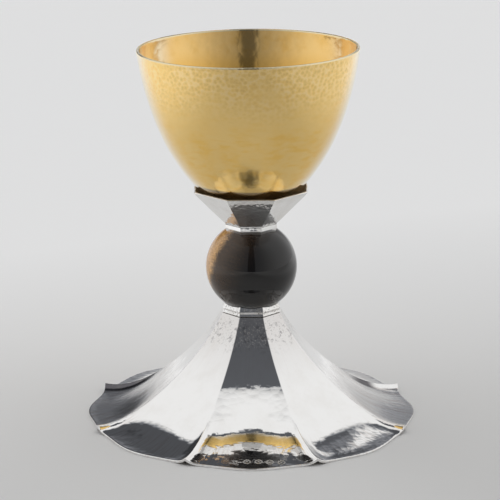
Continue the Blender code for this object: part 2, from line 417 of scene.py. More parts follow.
class Raising:
    """The tree that turns one facet, or one slice, into a finished hand-raised piece."""

    SIZES = {
        "Copies": ("Int", FACETS),
        "Weld": ("Float", 0.000002),
        "Seed": ("Float", 1.0),
        "Wave Size": ("Float", 0.008),
        "Wave Depth": ("Float", 0.0),
        "Mark Size": ("Float", 0.002),
        "Mark Depth": ("Float", 0.0),
        "Marks From": ("Float", -1.0),
        "Marks Full": ("Float", -0.5),
    }

    def __init__(self) -> None:
        """Build the tree once."""
        tree = Tree(bpy.data.node_groups.new("raising", "GeometryNodeTree"))
        tree.input("Geometry", "Geometry")
        for name, (kind, value) in self.SIZES.items():
            tree.input(name, kind, value)
        tree.input("Material", "Material")
        tree.output("Geometry", "Geometry")
        size = tree.add("NodeGroupInput").outputs
        whole = self._repeat(tree, size)
        normal = tree.add("GeometryNodeInputNormal").outputs[0]
        move = tree.vector("SCALE", normal, Scale=self._relief(tree, size))
        shaped = tree.add("GeometryNodeSetPosition", Geometry=whole, Offset=move)
        real = tree.add("GeometryNodeRealizeInstances", Geometry=shaped.outputs[0])
        dressed = tree.add("GeometryNodeSetMaterial", Geometry=real.outputs[0], Material=size["Material"])
        tree.add("NodeGroupOutput", Geometry=dressed.outputs[0])
        self.tree = tree.tree

    @staticmethod
    def _repeat(tree: Tree, size: Sockets) -> Socket:
        """Turn copies of the incoming mesh about Z and weld their seams.

        Args:
            tree: The tree to add to.
            size: The tree's inputs, as sockets.

        Returns:
            The welded geometry.
        """
        points = tree.add("GeometryNodeMeshLine", Count=size["Copies"], Offset=(0.0, 0.0, 0.0))
        number = tree.add("GeometryNodeInputIndex").outputs[0]
        turn = tree.math("DIVIDE", tree.times(number, math.tau), size["Copies"])
        spin = tree.add("ShaderNodeCombineXYZ", Z=turn).outputs[0]
        ring = tree.add("GeometryNodeInstanceOnPoints", Points=points.outputs[0],
                        Instance=size["Geometry"], Rotation=spin)
        real = tree.add("GeometryNodeRealizeInstances", Geometry=ring.outputs[0])
        return tree.add("GeometryNodeMergeByDistance", Geometry=real.outputs[0],
                        Distance=size["Weld"]).outputs[0]

    @staticmethod
    def _relief(tree: Tree, size: Sockets) -> Socket:
        """Add the soft waves of hand raising, and the hammer marks on the outer side.

        Args:
            tree: The tree to add to.
            size: The tree's inputs, as sockets.

        Returns:
            How far each point stands proud.
        """
        place = tree.add("GeometryNodeInputPosition").outputs[0]
        waves = tree.noise(place, tree.per(size["Wave Size"]), detail=1.0, roughness=0.4, seed=size["Seed"])
        raised = tree.times(tree.math("SUBTRACT", waves, 0.5), size["Wave Depth"])
        marks = tree.add("ShaderNodeTexVoronoi", {"feature": "SMOOTH_F1", "voronoi_dimensions": "4D"},
                         Vector=place, W=size["Seed"], Scale=tree.per(size["Mark Size"]),
                         Smoothness=0.3, Randomness=0.9).outputs["Distance"]
        height = tree.add("ShaderNodeSeparateXYZ", Vector=place).outputs[2]
        fade = tree.rise(height, size["Marks From"], size["Marks Full"])
        flag = tree.add("GeometryNodeInputNamedAttribute", {"data_type": "FLOAT"}, Name=ON_OUTSIDE)
        return tree.plus(raised, tree.times(marks, size["Mark Depth"], fade, flag.outputs[0]))

    def run(self, name: str, mesh: bpy.types.Mesh, material: bpy.types.Material,
            **sizes: float) -> bpy.types.Object:
        """Run the tree on a mesh and keep its result as a plain object.

        Args:
            name: The finished piece's name.
            mesh: The facet or slice to repeat and raise.
            material: Its finish.
            **sizes: The tree's inputs, with underscores for spaces.

        Returns:
            The piece, at the origin, with no modifier.
        """
        piece = bpy.data.objects.new(name, mesh)
        bpy.context.scene.collection.objects.link(piece)
        modifier = piece.modifiers.new("Raising", "NODES")
        modifier.node_group = self.tree
        named = {item.name: item.identifier for item in self.tree.interface.items_tree
                 if item.item_type == "SOCKET" and item.in_out == "INPUT"}
        modifier[named["Material"]] = material
        for key, value in sizes.items():
            modifier[named[key.replace("_", " ")]] = value
        graph = bpy.context.evaluated_depsgraph_get()
        made = bpy.data.meshes.new_from_object(piece.evaluated_get(graph), depsgraph=graph)
        piece.modifiers.remove(modifier)
        piece.data = made
        bpy.data.meshes.remove(mesh)
        made.name = name
        return piece


def fit(piece: bpy.types.Object, node: str) -> bpy.types.Object:
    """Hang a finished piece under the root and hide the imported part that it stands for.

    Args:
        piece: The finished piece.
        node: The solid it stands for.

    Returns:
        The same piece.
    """
    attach(piece, "root")
    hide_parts(node)
    triangles = sum(len(polygon.vertices) - 2 for polygon in piece.data.polygons)
    low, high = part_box(node)
    log.info("%s: %d triangles, solid %.1f mm high", piece.name, triangles, 1000.0 * (high.z - low.z))
    return piece


# The pieces, from the foot up

@dataclass
class Foot:
    """The raised foot: eight gores with sharp ridges between them, and a lobe at each gore's end."""

    height: float = 0.0484
    radius: float = 0.0733
    wall: float = 0.00115
    neck_radius: float = 0.0137
    tip_height: float = 0.0038
    neck_spread: float = 0.122
    neck_fall: float = 0.342
    tip_spread: float = 0.612
    tip_dip: float = 0.038
    lobe_start: float = 0.0450
    lobe_bulge: float = 0.0055
    bulge_growth: float = 1.5
    drop_growth: float = 1.3
    lobe_point: float = 2.5
    flank_steepness: float = 11.0
    lobe_slope: float = math.radians(12.0)
    ground_trim: float = 0.00015
    swell: float = 0.0002
    swell_radii: tuple[float, float, float] = (0.018, 0.038, 0.058)
    sag: float = 0.0004
    sag_radii: tuple[float, float, float] = (0.038, 0.058, 0.0733)
    ridge_rounding: float = 0.00022
    edge_bulge: float = 0.00030
    edge_fullness: float = 0.7
    edge_rows: int = 6
    columns: int = 40
    lobe_crowding: float = 0.9
    rows: int = 110
    inner_rows: int = 26
    mitre_halvings: int = 30

    def ridge(self, t: np.ndarray) -> np.ndarray:
        """Place points down a ridge.

        Args:
            t: Where along the ridge, from 0 at the neck to 1 at the tip.

        Returns:
            Rows of (radius, height).
        """
        drop = self.height - self.tip_height
        reach = self.radius - self.neck_radius
        return bezier((
            (self.neck_radius, self.height),
            (self.neck_radius + self.neck_spread * reach, self.height - self.neck_fall * drop),
            (self.neck_radius + self.tip_spread * reach, self.tip_height - self.tip_dip * drop),
            (self.radius, self.tip_height),
        ), t)

    def growth(self, radius: np.ndarray) -> np.ndarray:
        """Return how far a radius is into the lobe, from 0 to 1."""
        return np.maximum(radius - self.lobe_start, 0.0) / (self.radius - self.lobe_start)

    @staticmethod
    def hump(radius: np.ndarray, radii: tuple[float, float, float]) -> np.ndarray:
        """Raise a smooth hump over the radius.

        Args:
            radius: The radii.
            radii: Where the hump starts, where it is highest and where it ends.

        Returns:
            Values from 0 at both ends to 1 at the top.
        """
        start, top, end = radii
        climb = np.clip((radius - start) / (top - start), 0.0, 1.0)
        fall = np.clip((radius - top) / (end - top), 0.0, 1.0)
        return 0.5 * (np.cos(math.pi * fall) - np.cos(math.pi * climb))

    def gore(self, t: np.ndarray, station: np.ndarray) -> np.ndarray:
        """Place points on the gore that faces -Y.

        Args:
            t: Where down the ridge, for each row or point.
            station: From -1 at the left ridge to 1 at the right one.

        Returns:
            Points of x, y, z on the outer surface.
        """
        profile = self.ridge(t.ravel())
        radius = profile[:, 0].reshape(t.shape)
        height = profile[:, 1].reshape(t.shape)
        growth = self.growth(radius)
        lobe_drop = self.tip_height + self.ground_trim - self.wall * math.cos(self.lobe_slope)
        bulge = self.lobe_bulge * growth ** self.bulge_growth * (1.0 - station ** 2) ** self.lobe_point
        drop = lobe_drop * growth ** self.drop_growth + self.sag * self.hump(radius, self.sag_radii)
        drop *= 1.0 - np.abs(station) ** self.flank_steepness
        drop -= self.swell * self.hump(radius, self.swell_radii)
        across = station * radius * math.sin(HALF_FACET)
        along = radius * FACET_DEPTH + bulge
        return np.stack((across, -along, height - drop), axis=-1)

    def underside(self, t: np.ndarray, station: np.ndarray) -> np.ndarray:
        """Place points one wall below the outer surface, with a mitre under each ridge.

        Args:
            t: Where down the ridge, as rows x 1.
            station: Rows x columns of stations.

        Returns:
            Points of x, y, z.
        """
        step = 0.0001
        down = np.clip(t, step, 1.0 - step)

        def below(share: np.ndarray) -> np.ndarray:
            """Place points a wall below the surface.

            Args:
                share: The stations.

            Returns:
                Points of x, y, z.
            """
            rows = down + 0.0 * share
            fall = self.gore(rows + step, share) - self.gore(rows - step, share)
            side = self.gore(rows, share + step) - self.gore(rows, share - step)
            normal = np.cross(fall, side)
            normal /= np.linalg.norm(normal, axis=-1)[..., None]
            return self.gore(t + 0.0 * share, share) - self.wall * normal

        # The mitre is where the offset of the gore meets the plane through the ridge
        low, high = np.zeros_like(t), np.ones_like(t) - 2.0 * step
        for _ in range(self.mitre_halvings):
            middle = 0.5 * (low + high)
            point = below(middle)
            short = np.arctan2(point[..., 0], -point[..., 1]) < HALF_FACET
            low, high = np.where(short, middle, low), np.where(short, high, middle)
        points = below(station * low)
        edge = np.abs(station) == 1.0
        angle = HALF_FACET * np.sign(station)
        radius = np.hypot(points[..., 0], points[..., 1])
        points[..., 0] = np.where(edge, radius * np.sin(angle), points[..., 0])
        points[..., 1] = np.where(edge, -radius * np.cos(angle), points[..., 1])
        return points

    def rim_edge(self, top: np.ndarray, bottom: np.ndarray, before: np.ndarray) -> np.ndarray:
        """Round the cut edge of the sheet between its outer and inner surface.

        Args:
            top: The last row of the outer surface.
            bottom: The first row of the inner surface.
            before: The row above the last one.

        Returns:
            The rows of the edge.
        """
        outward = top - before
        outward /= np.linalg.norm(outward, axis=-1)[:, None]
        turns = np.linspace(0.0, math.pi, self.edge_rows + 2)[1:-1]
        return np.stack([top + (bottom - top) * 0.5 * (1.0 - math.cos(turn))
                         + self.edge_bulge * math.sin(turn) ** self.edge_fullness * outward
                         for turn in turns])

    def build(self, raising: Raising, silver: bpy.types.Material) -> bpy.types.Object:
        """Make the foot.

        Args:
            raising: The tree that repeats the gore.
            silver: The finish.

        Returns:
            The finished foot.
        """
        t = np.linspace(0.0, 1.0, self.rows + 1)[:, None]
        radius = self.ridge(t[:, 0])[:, 0]
        half_width = radius * math.sin(HALF_FACET)
        crowding = self.lobe_crowding * self.growth(radius)
        station = crowded_stations(half_width, self.columns, crowding, 0.5 * self.ridge_rounding)
        outer = rounded_facet(lambda share: self.gore(t + 0.0 * share, share), station, half_width,
                              self.ridge_rounding)
        inner_t = np.linspace(1.0, 0.0, self.inner_rows + 1)[:, None]
        inner_station = station[np.round(inner_t[:, 0] * self.rows).astype(int)]
        inner = self.underside(inner_t, inner_station)
        edge = self.rim_edge(outer[-1], inner[0], outer[-2])
        points = np.concatenate((outer, edge, inner))
        points[..., 2] = np.maximum(points[..., 2], 0.0)
        mesh = grid_mesh("gore", points, closed=True, outside=slice(len(outer) + len(edge)))
        piece = raising.run("foot_raised", mesh, silver, Seed=2.0, Wave_Size=0.0085, Wave_Depth=0.00009)
        return fit(piece, "foot")


@dataclass
class Stone:
    """The polished ball, all but touching its rings."""

    radius: float = 0.0200
    growth: float = 0.0002
    height: float = 0.0
    rings: int = 96
    columns: int = 20

    def build(self, raising: Raising, finish: bpy.types.Material) -> bpy.types.Object:
        """Make the ball.

        Args:
            raising: The tree that repeats the slice.
            finish: The stone's finish.

        Returns:
            The finished ball.
        """
        angle = np.linspace(0.0, math.pi, self.rings + 1)
        radius = self.radius + self.growth
        profile = np.column_stack((radius * np.sin(angle), self.height + radius * np.cos(angle)))
        profile[0, 0] = profile[-1, 0] = 0.0
        mesh = grid_mesh("slice", turn_points(profile, self.columns, FACETS), closed=False)
        return fit(raising.run("stone_polished", mesh, finish), "stone_knop")


@dataclass
class SeatedRing:
    """An eight-sided ring with a hollow that the ball sits against.

    The profile is given from the ball's side round the outside to the bore, and its first edge
    is where its first facet meets the ball.
    """

    name: str
    node: str
    profile: tuple[Range, ...]
    stone_height: float
    seat_radius: float
    above_stone: bool
    bore: float
    rounding: float = 0.00012
    columns: int = 16
    first_rows: Range = (0.04, 0.12)
    seat_rows: int = 6
    seat_halvings: int = 40
    lean: float = 0.0

    def seat_point(self, station: np.ndarray, share: float) -> tuple[np.ndarray, np.ndarray]:
        """Return radius and height on the seat, from the first edge (0) to the bore (1).

        Args:
            station: The stations.
            share: How far in towards the bore.

        Returns:
            The radius at a sharp corner and the height, for each station.
        """
        (top_radius, top), (low_radius, low) = self.profile[0], self.profile[1]
        width = np.hypot(FACET_DEPTH, station * math.sin(HALF_FACET))
        near, far = np.zeros_like(station), np.ones_like(station)
        for _ in range(self.seat_halvings):
            middle = 0.5 * (near + far)
            radius = top_radius + (low_radius - top_radius) * middle
            height = top + (low - top) * middle
            inside = np.hypot(radius * width, height - self.stone_height) < self.seat_radius
            near, far = np.where(inside, middle, near), np.where(inside, far, middle)
        edge_radius = top_radius + (low_radius - top_radius) * near
        radius = edge_radius + (self.bore - edge_radius) * share
        rise = np.sqrt(self.seat_radius ** 2 - (radius * width) ** 2)
        return radius, self.stone_height + (rise if self.above_stone else -rise)

    def plain(self, rows: np.ndarray, station: np.ndarray) -> np.ndarray:
        """Place the ring's points before its edges are rounded.

        Args:
            rows: The softened profile, as (radius, height) after the first edge.
            station: Rows x columns of stations, the seat's rows last.

        Returns:
            Points of x, y, z.
        """
        radius = np.repeat(rows[:, :1], station.shape[1], axis=1)
        height = np.repeat(rows[:, 1:], station.shape[1], axis=1)
        seat = [self.seat_point(station[len(rows) + number], share)
                for number, share in enumerate(np.linspace(1.0, 0.0, self.seat_rows))]
        edge_radius, edge_height = seat[-1]
        # The first facet's rows end at the ball
        first = self.profile[1]
        for number, share in enumerate(self.first_rows):
            radius[number] = edge_radius + (first[0] - edge_radius) * share
            height[number] = edge_height + (first[1] - edge_height) * share
        radius = np.vstack((radius, [point[0] for point in seat]))
        height = np.vstack((height, [point[1] for point in seat]))
        return facet_points(radius, height, station)

    def build(self, raising: Raising, silver: bpy.types.Material) -> bpy.types.Object:
        """Make the ring.

        Args:
            raising: The tree that repeats the facet.
            silver: The finish.

        Returns:
            The finished ring.
        """
        rows = softened(self.profile, self.rounding)
        rows = np.vstack((rows[:1], rows))
        count = len(rows) + self.seat_rows
        half_width = np.full(count, self.profile[1][0] * math.sin(HALF_FACET))
        station = crowded_stations(half_width, self.columns, np.zeros(count), EDGE_STEP * self.rounding)
        points = rounded_facet(lambda share: self.plain(rows, share), station, half_width, self.rounding)
        if self.above_stone:
            points = points[::-1]
        mesh = grid_mesh("facet", points, closed=True)
        piece = raising.run(self.name, mesh, silver, Seed=5.0, Wave_Size=0.004, Wave_Depth=0.00003)
        if self.lean:
            lean_mesh(piece.data, self.lean, self.stone_height)
        return fit(piece, self.node)


@dataclass
class Bowl:
    """The deep gilt bowl with its slightly thicker lip."""

    floor_height: float = 0.0
    height: float = 0.0732
    radius: float = 0.0482
    wall: float = 0.0010
    floor_spread: float = 0.36
    side_spread: float = 0.86
    side_rise: float = 0.325
    lip_thickness: float = 0.0013
    lip_height: float = 0.0014
    lip_rounding: float = 0.00030
    lip_roll: Range = (0.00045, 0.00085)
    lip_rows: tuple[int, int] = (4, 8)
    marked_from: float = 0.028
    marks_under_rim: Range = (0.036, 0.014)
    curve_rows: int = 800
    fine_step: float = 0.00052
    coarse_step: float = 0.00140
    inner_rows: int = 22
    slices: int = 24
    columns: int = 25

    def outside(self, t: np.ndarray) -> np.ndarray:
        """Place points on the outer curve.

        Args:
            t: Where along the curve, from 0 at the bottom to 1 under the lip.

        Returns:
            Rows of (radius, height).
        """
        height = self.height - self.lip_height
        return bezier((
            (0.0, self.floor_height),
            (self.floor_spread * self.radius, self.floor_height),
            (self.side_spread * self.radius, self.floor_height + self.side_rise * height),
            (self.radius, self.floor_height + height),
        ), t)

    def outer_rows(self) -> np.ndarray:
        """Place the rows of the outer side, close together where the marks are.

        Returns:
            Rows of (radius, height), from under the lip down.
        """
        dense = self.outside(np.linspace(0.0, 1.0, self.curve_rows))
        way = np.concatenate(((0.0,), np.cumsum(np.linalg.norm(np.diff(dense, axis=0), axis=1))))
        marked = dense[:, 1] > self.floor_height + self.marked_from
        step = np.where(marked, self.fine_step, self.coarse_step)
        count = np.concatenate(((0.0,), np.cumsum(np.diff(way) / step[1:])))
        stops = np.linspace(0.0, count[-1], round(count[-1]) + 1)
        t = np.interp(stops, count, np.linspace(0.0, 1.0, len(dense)))
        return self.outside(t)[::-1]

    def lip(self, rim: float, radius: float) -> np.ndarray:
        """Return the rows over the lip, from its inner side to its outer one.

        Args:
            rim: The rim's height.
            radius: The outer radius at the rim.

        Returns:
            Rows of (radius, height).
        """
        r = self.lip_rounding
        across, down = self.lip_roll
        inner = [(radius - self.lip_thickness + r - r * math.cos(turn), rim - r + r * math.sin(turn))
                 for turn in np.linspace(0.0, 0.5 * math.pi, self.lip_rows[0])]
        outer = [(radius - across + across * math.sin(turn), rim - down + down * math.cos(turn))
                 for turn in np.linspace(0.0, 0.5 * math.pi, self.lip_rows[1])]
        return np.array([*inner, *outer])

    def build(self, raising: Raising, gilt: bpy.types.Material, lean: float,
              pivot: float) -> bpy.types.Object:
        """Make the bowl.

        Args:
            raising: The tree that repeats the slice and strikes the hammer marks.
            gilt: The finish.
            lean: How far it leans towards -X.
            pivot: The height of the point that it leans about.

        Returns:
            The finished bowl.
        """
        outer = self.outer_rows()
        rim = self.floor_height + self.height
        flare = (outer[0, 0] - outer[1, 0]) / (outer[0, 1] - outer[1, 1])
        inner = offset_profile(self.outside(np.linspace(0.0, 1.0, self.inner_rows)), -self.wall)
        lip = self.lip(rim, self.radius + flare * self.lip_height)
        lip_inner, lip_outer = self.lip_rows
        profile = np.vstack((lip[lip_inner:], outer, inner, lip[:lip_inner]))
        bottom = lip_outer + len(outer) - 1
        mesh = grid_mesh("slice", turn_points(profile, self.columns, self.slices), closed=True,
                         gap=bottom, outside=slice(bottom + 1))
        marks_from, marks_full = (rim - below for below in self.marks_under_rim)
        piece = raising.run("bowl_raised", mesh, gilt, Copies=self.slices, Seed=8.0, Wave_Size=0.012,
                            Wave_Depth=0.00010, Mark_Size=0.0024, Mark_Depth=0.00006,
                            Marks_From=marks_from, Marks_Full=marks_full)
        lean_mesh(piece.data, lean, pivot)
        return fit(piece, "bowl")


@dataclass
class Calyx:
    """The eight-sided funnel that holds the bowl."""

    bottom: float
    height: float = 0.0156
    wall: float = 0.0010
    base_radius: float = 0.0122
    bowl_gap: float = 0.0011
    lip_height: float = 0.0022
    lip_flare: float = -0.00045
    bevel: Range = (0.00045, 0.00030)
    seat_depth: float = 0.0021
    seat_shares: tuple[float, ...] = (0.9, 0.75, 0.55, 0.3, 0.0)
    curve_rows: int = 400
    rounding: float = 0.00016
    inner_corners: int = 3
    inner_roundness: float = 0.4
    columns: int = 24

    def build(self, raising: Raising, silver: bpy.types.Material, bowl: Bowl, lean: float,
              pivot: float) -> bpy.types.Object:
        """Make the calyx.

        Args:
            raising: The tree that repeats the facet.
            silver: The finish.
            bowl: The bowl that it holds.
            lean: How far it leans towards -X.
            pivot: The height of the point that it leans about.

        Returns:
            The finished calyx.
        """
        top = self.bottom + self.height
        curve = bowl.outside(np.linspace(0.0, 1.0, self.curve_rows))
        bowl_radius = float(np.interp(top, curve[:, 1], curve[:, 0]))
        rim = (bowl_radius + self.bowl_gap + self.wall) / FACET_DEPTH
        wall = self.wall / FACET_DEPTH
        slope = (rim - self.base_radius) / self.height
        lip_foot = top - self.lip_height
        lip_foot_radius = rim - slope * self.lip_height - self.lip_flare
        seat_top = bowl.floor_height + self.seat_depth
        level_wall = wall * math.hypot(1.0, slope)
        floor_radius = self.base_radius + slope * (seat_top - self.bottom) - level_wall
        # The seat runs a little below the bowl, so that the two clear each other although they lean apart
        clearance = 2.0 * JOINT_GAP
        seat_radius = float(np.interp(seat_top + clearance, curve[:, 1], curve[:, 0]))
        seat = [(seat_radius, seat_top)]
        for radius in (share * seat_radius for share in self.seat_shares):
            seat.append((radius, float(np.interp(radius, curve[:, 0], curve[:, 1])) - clearance))
        flats = softened((
            (0.5 * self.base_radius, self.bottom),
            (self.base_radius, self.bottom),
            (lip_foot_radius, lip_foot),
            (rim, top - self.bevel[1]),
            (rim - self.bevel[0], top),
            (rim - wall, top),
            (lip_foot_radius - level_wall, lip_foot),
            (floor_radius, seat_top),
            (0.5 * (floor_radius + seat_radius), seat_top),
        ), self.rounding)
        # Rows run from the middle of the floor, down the bottom and up the outside, so they are turned round
        profile = np.vstack(((0.0, self.bottom), flats, seat))[::-1]
        inner = CORNER_ROWS * self.inner_corners
        roundness = np.concatenate((np.ones(len(seat)), np.full(inner, self.inner_roundness),
                                    np.zeros(len(flats) + 1 - inner)))
        half_width = profile[:, 0] * math.sin(HALF_FACET)
        even = np.zeros(len(profile))
        station = crowded_stations(half_width, self.columns, even, EDGE_STEP * self.rounding)
        points = rounded_facet(
            lambda share: facet_points(profile[:, :1], profile[:, 1:], share, roundness[:, None]),
            station, half_width, self.rounding)
        # The rows start inside
        mesh = grid_mesh("facet", points, closed=False, outside=slice(len(seat) + inner + 1, None))
        piece = raising.run("calyx_raised", mesh, silver, Seed=11.0, Wave_Size=0.006, Wave_Depth=0.00005)
        lean_mesh(piece.data, lean, pivot)
        return fit(piece, "calyx")


@dataclass
class Chalice:
    """The whole chalice, stacked from the foot upwards."""

    calyx_lean: float = math.radians(0.4)
    bowl_lean: float = math.radians(0.85)
    ring_bore: float = 0.0090
    neck_ring_height: float = 0.0041
    neck_ring_radius: float = 0.0129
    neck_ring_flare: float = 0.0008
    neck_fillet_height: float = 0.0018
    neck_step: float = 0.0003
    calyx_ring_height: float = 0.0035
    calyx_ring_radius: float = 0.0124
    calyx_ring_seat: float = 0.0115
    calyx_ring_crest: float = 0.55
    seat_thickness: float = 0.0038

    def build(self, raising: Raising, finish: dict[str, bpy.types.Material]) -> None:
        """Make every piece.

        Args:
            raising: The tree that repeats and raises.
            finish: The materials by name.
        """
        foot = Foot()
        stone = Stone()
        seat_radius = stone.radius + JOINT_GAP
        ring_bottom = foot.height + JOINT_GAP
        ring_top = ring_bottom + self.neck_ring_height
        stone.height = ring_top + math.sqrt(seat_radius ** 2 - self.neck_ring_radius ** 2)
        foot.build(raising, finish["foot"])
        band = self.neck_ring_radius + self.neck_ring_flare
        band_foot = ring_bottom + self.neck_fillet_height
        SeatedRing("neck_ring_filed", "neck_ring", (
            (self.neck_ring_radius, ring_top),
            (band, band_foot),
            (band - self.neck_step, band_foot - self.neck_step),
            (band - self.neck_step, ring_bottom + 0.5 * self.neck_fillet_height),
            (foot.neck_radius + self.neck_step, ring_bottom),
            (self.ring_bore, ring_bottom),
        ), stone.height, seat_radius, above_stone=False, bore=self.ring_bore).build(raising, finish["rings"])
        stone.build(raising, finish["stone"])
        collar_bottom = stone.height + math.sqrt(seat_radius ** 2 - self.calyx_ring_seat ** 2)
        collar_top = collar_bottom + self.calyx_ring_height
        calyx = Calyx(collar_top + JOINT_GAP)
        SeatedRing("calyx_ring_filed", "calyx_ring", (
            (self.calyx_ring_seat, collar_bottom),
            (self.calyx_ring_radius, collar_bottom + self.calyx_ring_crest * self.calyx_ring_height),
            (calyx.base_radius, collar_top),
            (self.ring_bore, collar_top),
        ), stone.height, seat_radius, above_stone=True, bore=self.ring_bore,
            lean=self.calyx_lean).build(raising, finish["rings"])
        bowl = Bowl(floor_height=calyx.bottom + self.seat_thickness + JOINT_GAP)
        calyx.build(raising, finish["calyx"], bowl, self.calyx_lean, stone.height)
        bowl.build(raising, finish["bowl"], self.bowl_lean, stone.height)


# Finishes

class Dressing:
    """The shader groups that more than one finish uses."""

    PATCHES: Range = (0.42, 0.72)
    PIT_EDGE = 0.06

    def __init__(self) -> None:
        """Build each group once."""
        self.hand_work = self._hand_work()
        self.tarnish = self._tarnish()
        self.brushing = self._brushing()
        self.pitting = self._pitting()

    @staticmethod
    def _group(name: str, outputs: Sequence[str], **inputs: float) -> tuple[Tree, Sockets]:
        """Start a shader group whose inputs and outputs are numbers, apart from one Vector.

        Args:
            name: The group's name.
            outputs: The names of its outputs.
            **inputs: The values of its inputs, with underscores for spaces.

        Returns:
            The group's tree, and its inputs as sockets.
        """
        tree = Tree(bpy.data.node_groups.new(name, "ShaderNodeTree"))
        for key, value in inputs.items():
            tree.input(key.replace("_", " "), "Float", value)
        tree.input("Vector", "Vector")
        for key in outputs:
            tree.output(key, "Float")
        return tree, tree.add("NodeGroupInput").outputs

    def _hand_work(self) -> bpy.types.NodeTree:
        """Build the group of hammer facets and fine grain.

        Returns:
            The group, which gives a height.
        """
        tree, size = self._group("hand_work", ["Height"], Facet_Size=0.003, Facet_Depth=1.0,
                                 Grain_Size=0.0004, Grain_Depth=0.1)
        facets = tree.add("ShaderNodeTexVoronoi", {"feature": "F1"}, Vector=size["Vector"],
                          Scale=tree.per(size["Facet Size"]), Randomness=1.0)
        grain = tree.noise(size["Vector"], tree.per(size["Grain Size"]), detail=1.0)
        struck = tree.times(facets.outputs["Distance"], size["Facet Depth"], size["Facet Size"])
        rough = tree.times(grain, size["Grain Depth"], size["Grain Size"])
        tree.add("NodeGroupOutput", Height=tree.plus(struck, rough))
        return tree.tree

    def _tarnish(self) -> bpy.types.NodeTree:
        """Build the group of soft patches.

        Returns:
            The group, which gives a mask.
        """
        tree, size = self._group("tarnish", ["Mask"], Patch_Size=0.012, Amount=0.5, Seed=0.0)
        patches = tree.noise(size["Vector"], tree.per(size["Patch Size"]), detail=3.0, roughness=0.6,
                             seed=size["Seed"])
        tree.add("NodeGroupOutput", Mask=tree.times(tree.rise(patches, *self.PATCHES), size["Amount"]))
        return tree.tree

    def _brushing(self) -> bpy.types.NodeTree:
        """Build the group of fine lines that run out from the axis, or round it.

        Returns:
            The group, which gives a height and a mask.
        """
        tree, size = self._group("brushing", ["Height", "Mask"], Turns=80.0, Out=60.0, Up=60.0, Depth=0.00001)
        x, y, z = tree.add("ShaderNodeSeparateXYZ", Vector=size["Vector"]).outputs
        level = tree.add("ShaderNodeCombineXYZ", X=x, Y=y, Z=0.0).outputs[0]
        around = tree.vector("SCALE", tree.vector("NORMALIZE", level), Scale=size["Turns"])
        climb = tree.plus(tree.times(tree.vector("LENGTH", level), size["Out"]), tree.times(z, size["Up"]))
        lift = tree.add("ShaderNodeCombineXYZ", X=0.0, Y=0.0, Z=climb).outputs[0]
        lines = tree.noise(tree.vector("ADD", around, lift), 1.0, detail=2.0, roughness=0.55)
        tree.add("NodeGroupOutput", Height=tree.times(lines, size["Depth"]), Mask=lines)
        return tree.tree

    def _pitting(self) -> bpy.types.NodeTree:
        """Build the group of small dark pits.

        Returns:
            The group, which gives a mask.
        """
        tree, size = self._group("pitting", ["Mask"], Pit_Size=0.0006, Rarity=0.62)
        spots = tree.noise(size["Vector"], tree.per(size["Pit Size"]), detail=2.0, roughness=0.6)
        mask = tree.rise(spots, size["Rarity"], tree.plus(size["Rarity"], self.PIT_EDGE))
        tree.add("NodeGroupOutput", Mask=mask)
        return tree.tree


class Coat(Tree):
    """The tree of one material, with its shader and the place of each point as sockets."""

    def __init__(self, name: str) -> None:
        """Start a new material.

        Args:
            name: The material's name.
        """
        self.material = bpy.data.materials.new(name)
        self.material.use_nodes = True
        super().__init__(self.material.node_tree)
        self.shader = self.tree.nodes["Principled BSDF"]
        self.place = self.add("ShaderNodeTexCoord").outputs["Object"]
        self.x, self.y, self.z = self.add("ShaderNodeSeparateXYZ", Vector=self.place).outputs

    @functools.cached_property
    def level(self) -> Socket:
        """The point's place without its height."""
        return self.add("ShaderNodeCombineXYZ", X=self.x, Y=self.y, Z=0.0).outputs[0]

    @functools.cached_property
    def radius(self) -> Socket:
        """The point's distance from the axis."""
        return self.vector("LENGTH", self.level)

    @functools.cached_property
    def outside(self) -> Socket:
        """The mask of the piece's outer side."""
        return self.add("ShaderNodeAttribute", {"attribute_name": ON_OUTSIDE}).outputs["Fac"]

    def group(self, group: bpy.types.NodeTree, **sockets: object) -> Sockets:
        """Place a shared group on Object coordinates and return its outputs."""
        return self.add("ShaderNodeGroup", {"node_tree": group}, Vector=self.place, **sockets).outputs


@dataclass(frozen=True)
class Finish:
    """What every finish has. Of two values that bound a mask, it is 0 at the first and 1 at the second."""

    name: str

    def make(self, dressing: Dressing) -> bpy.types.Material:
        """Build the material with the help of the shared groups."""
        raise NotImplementedError


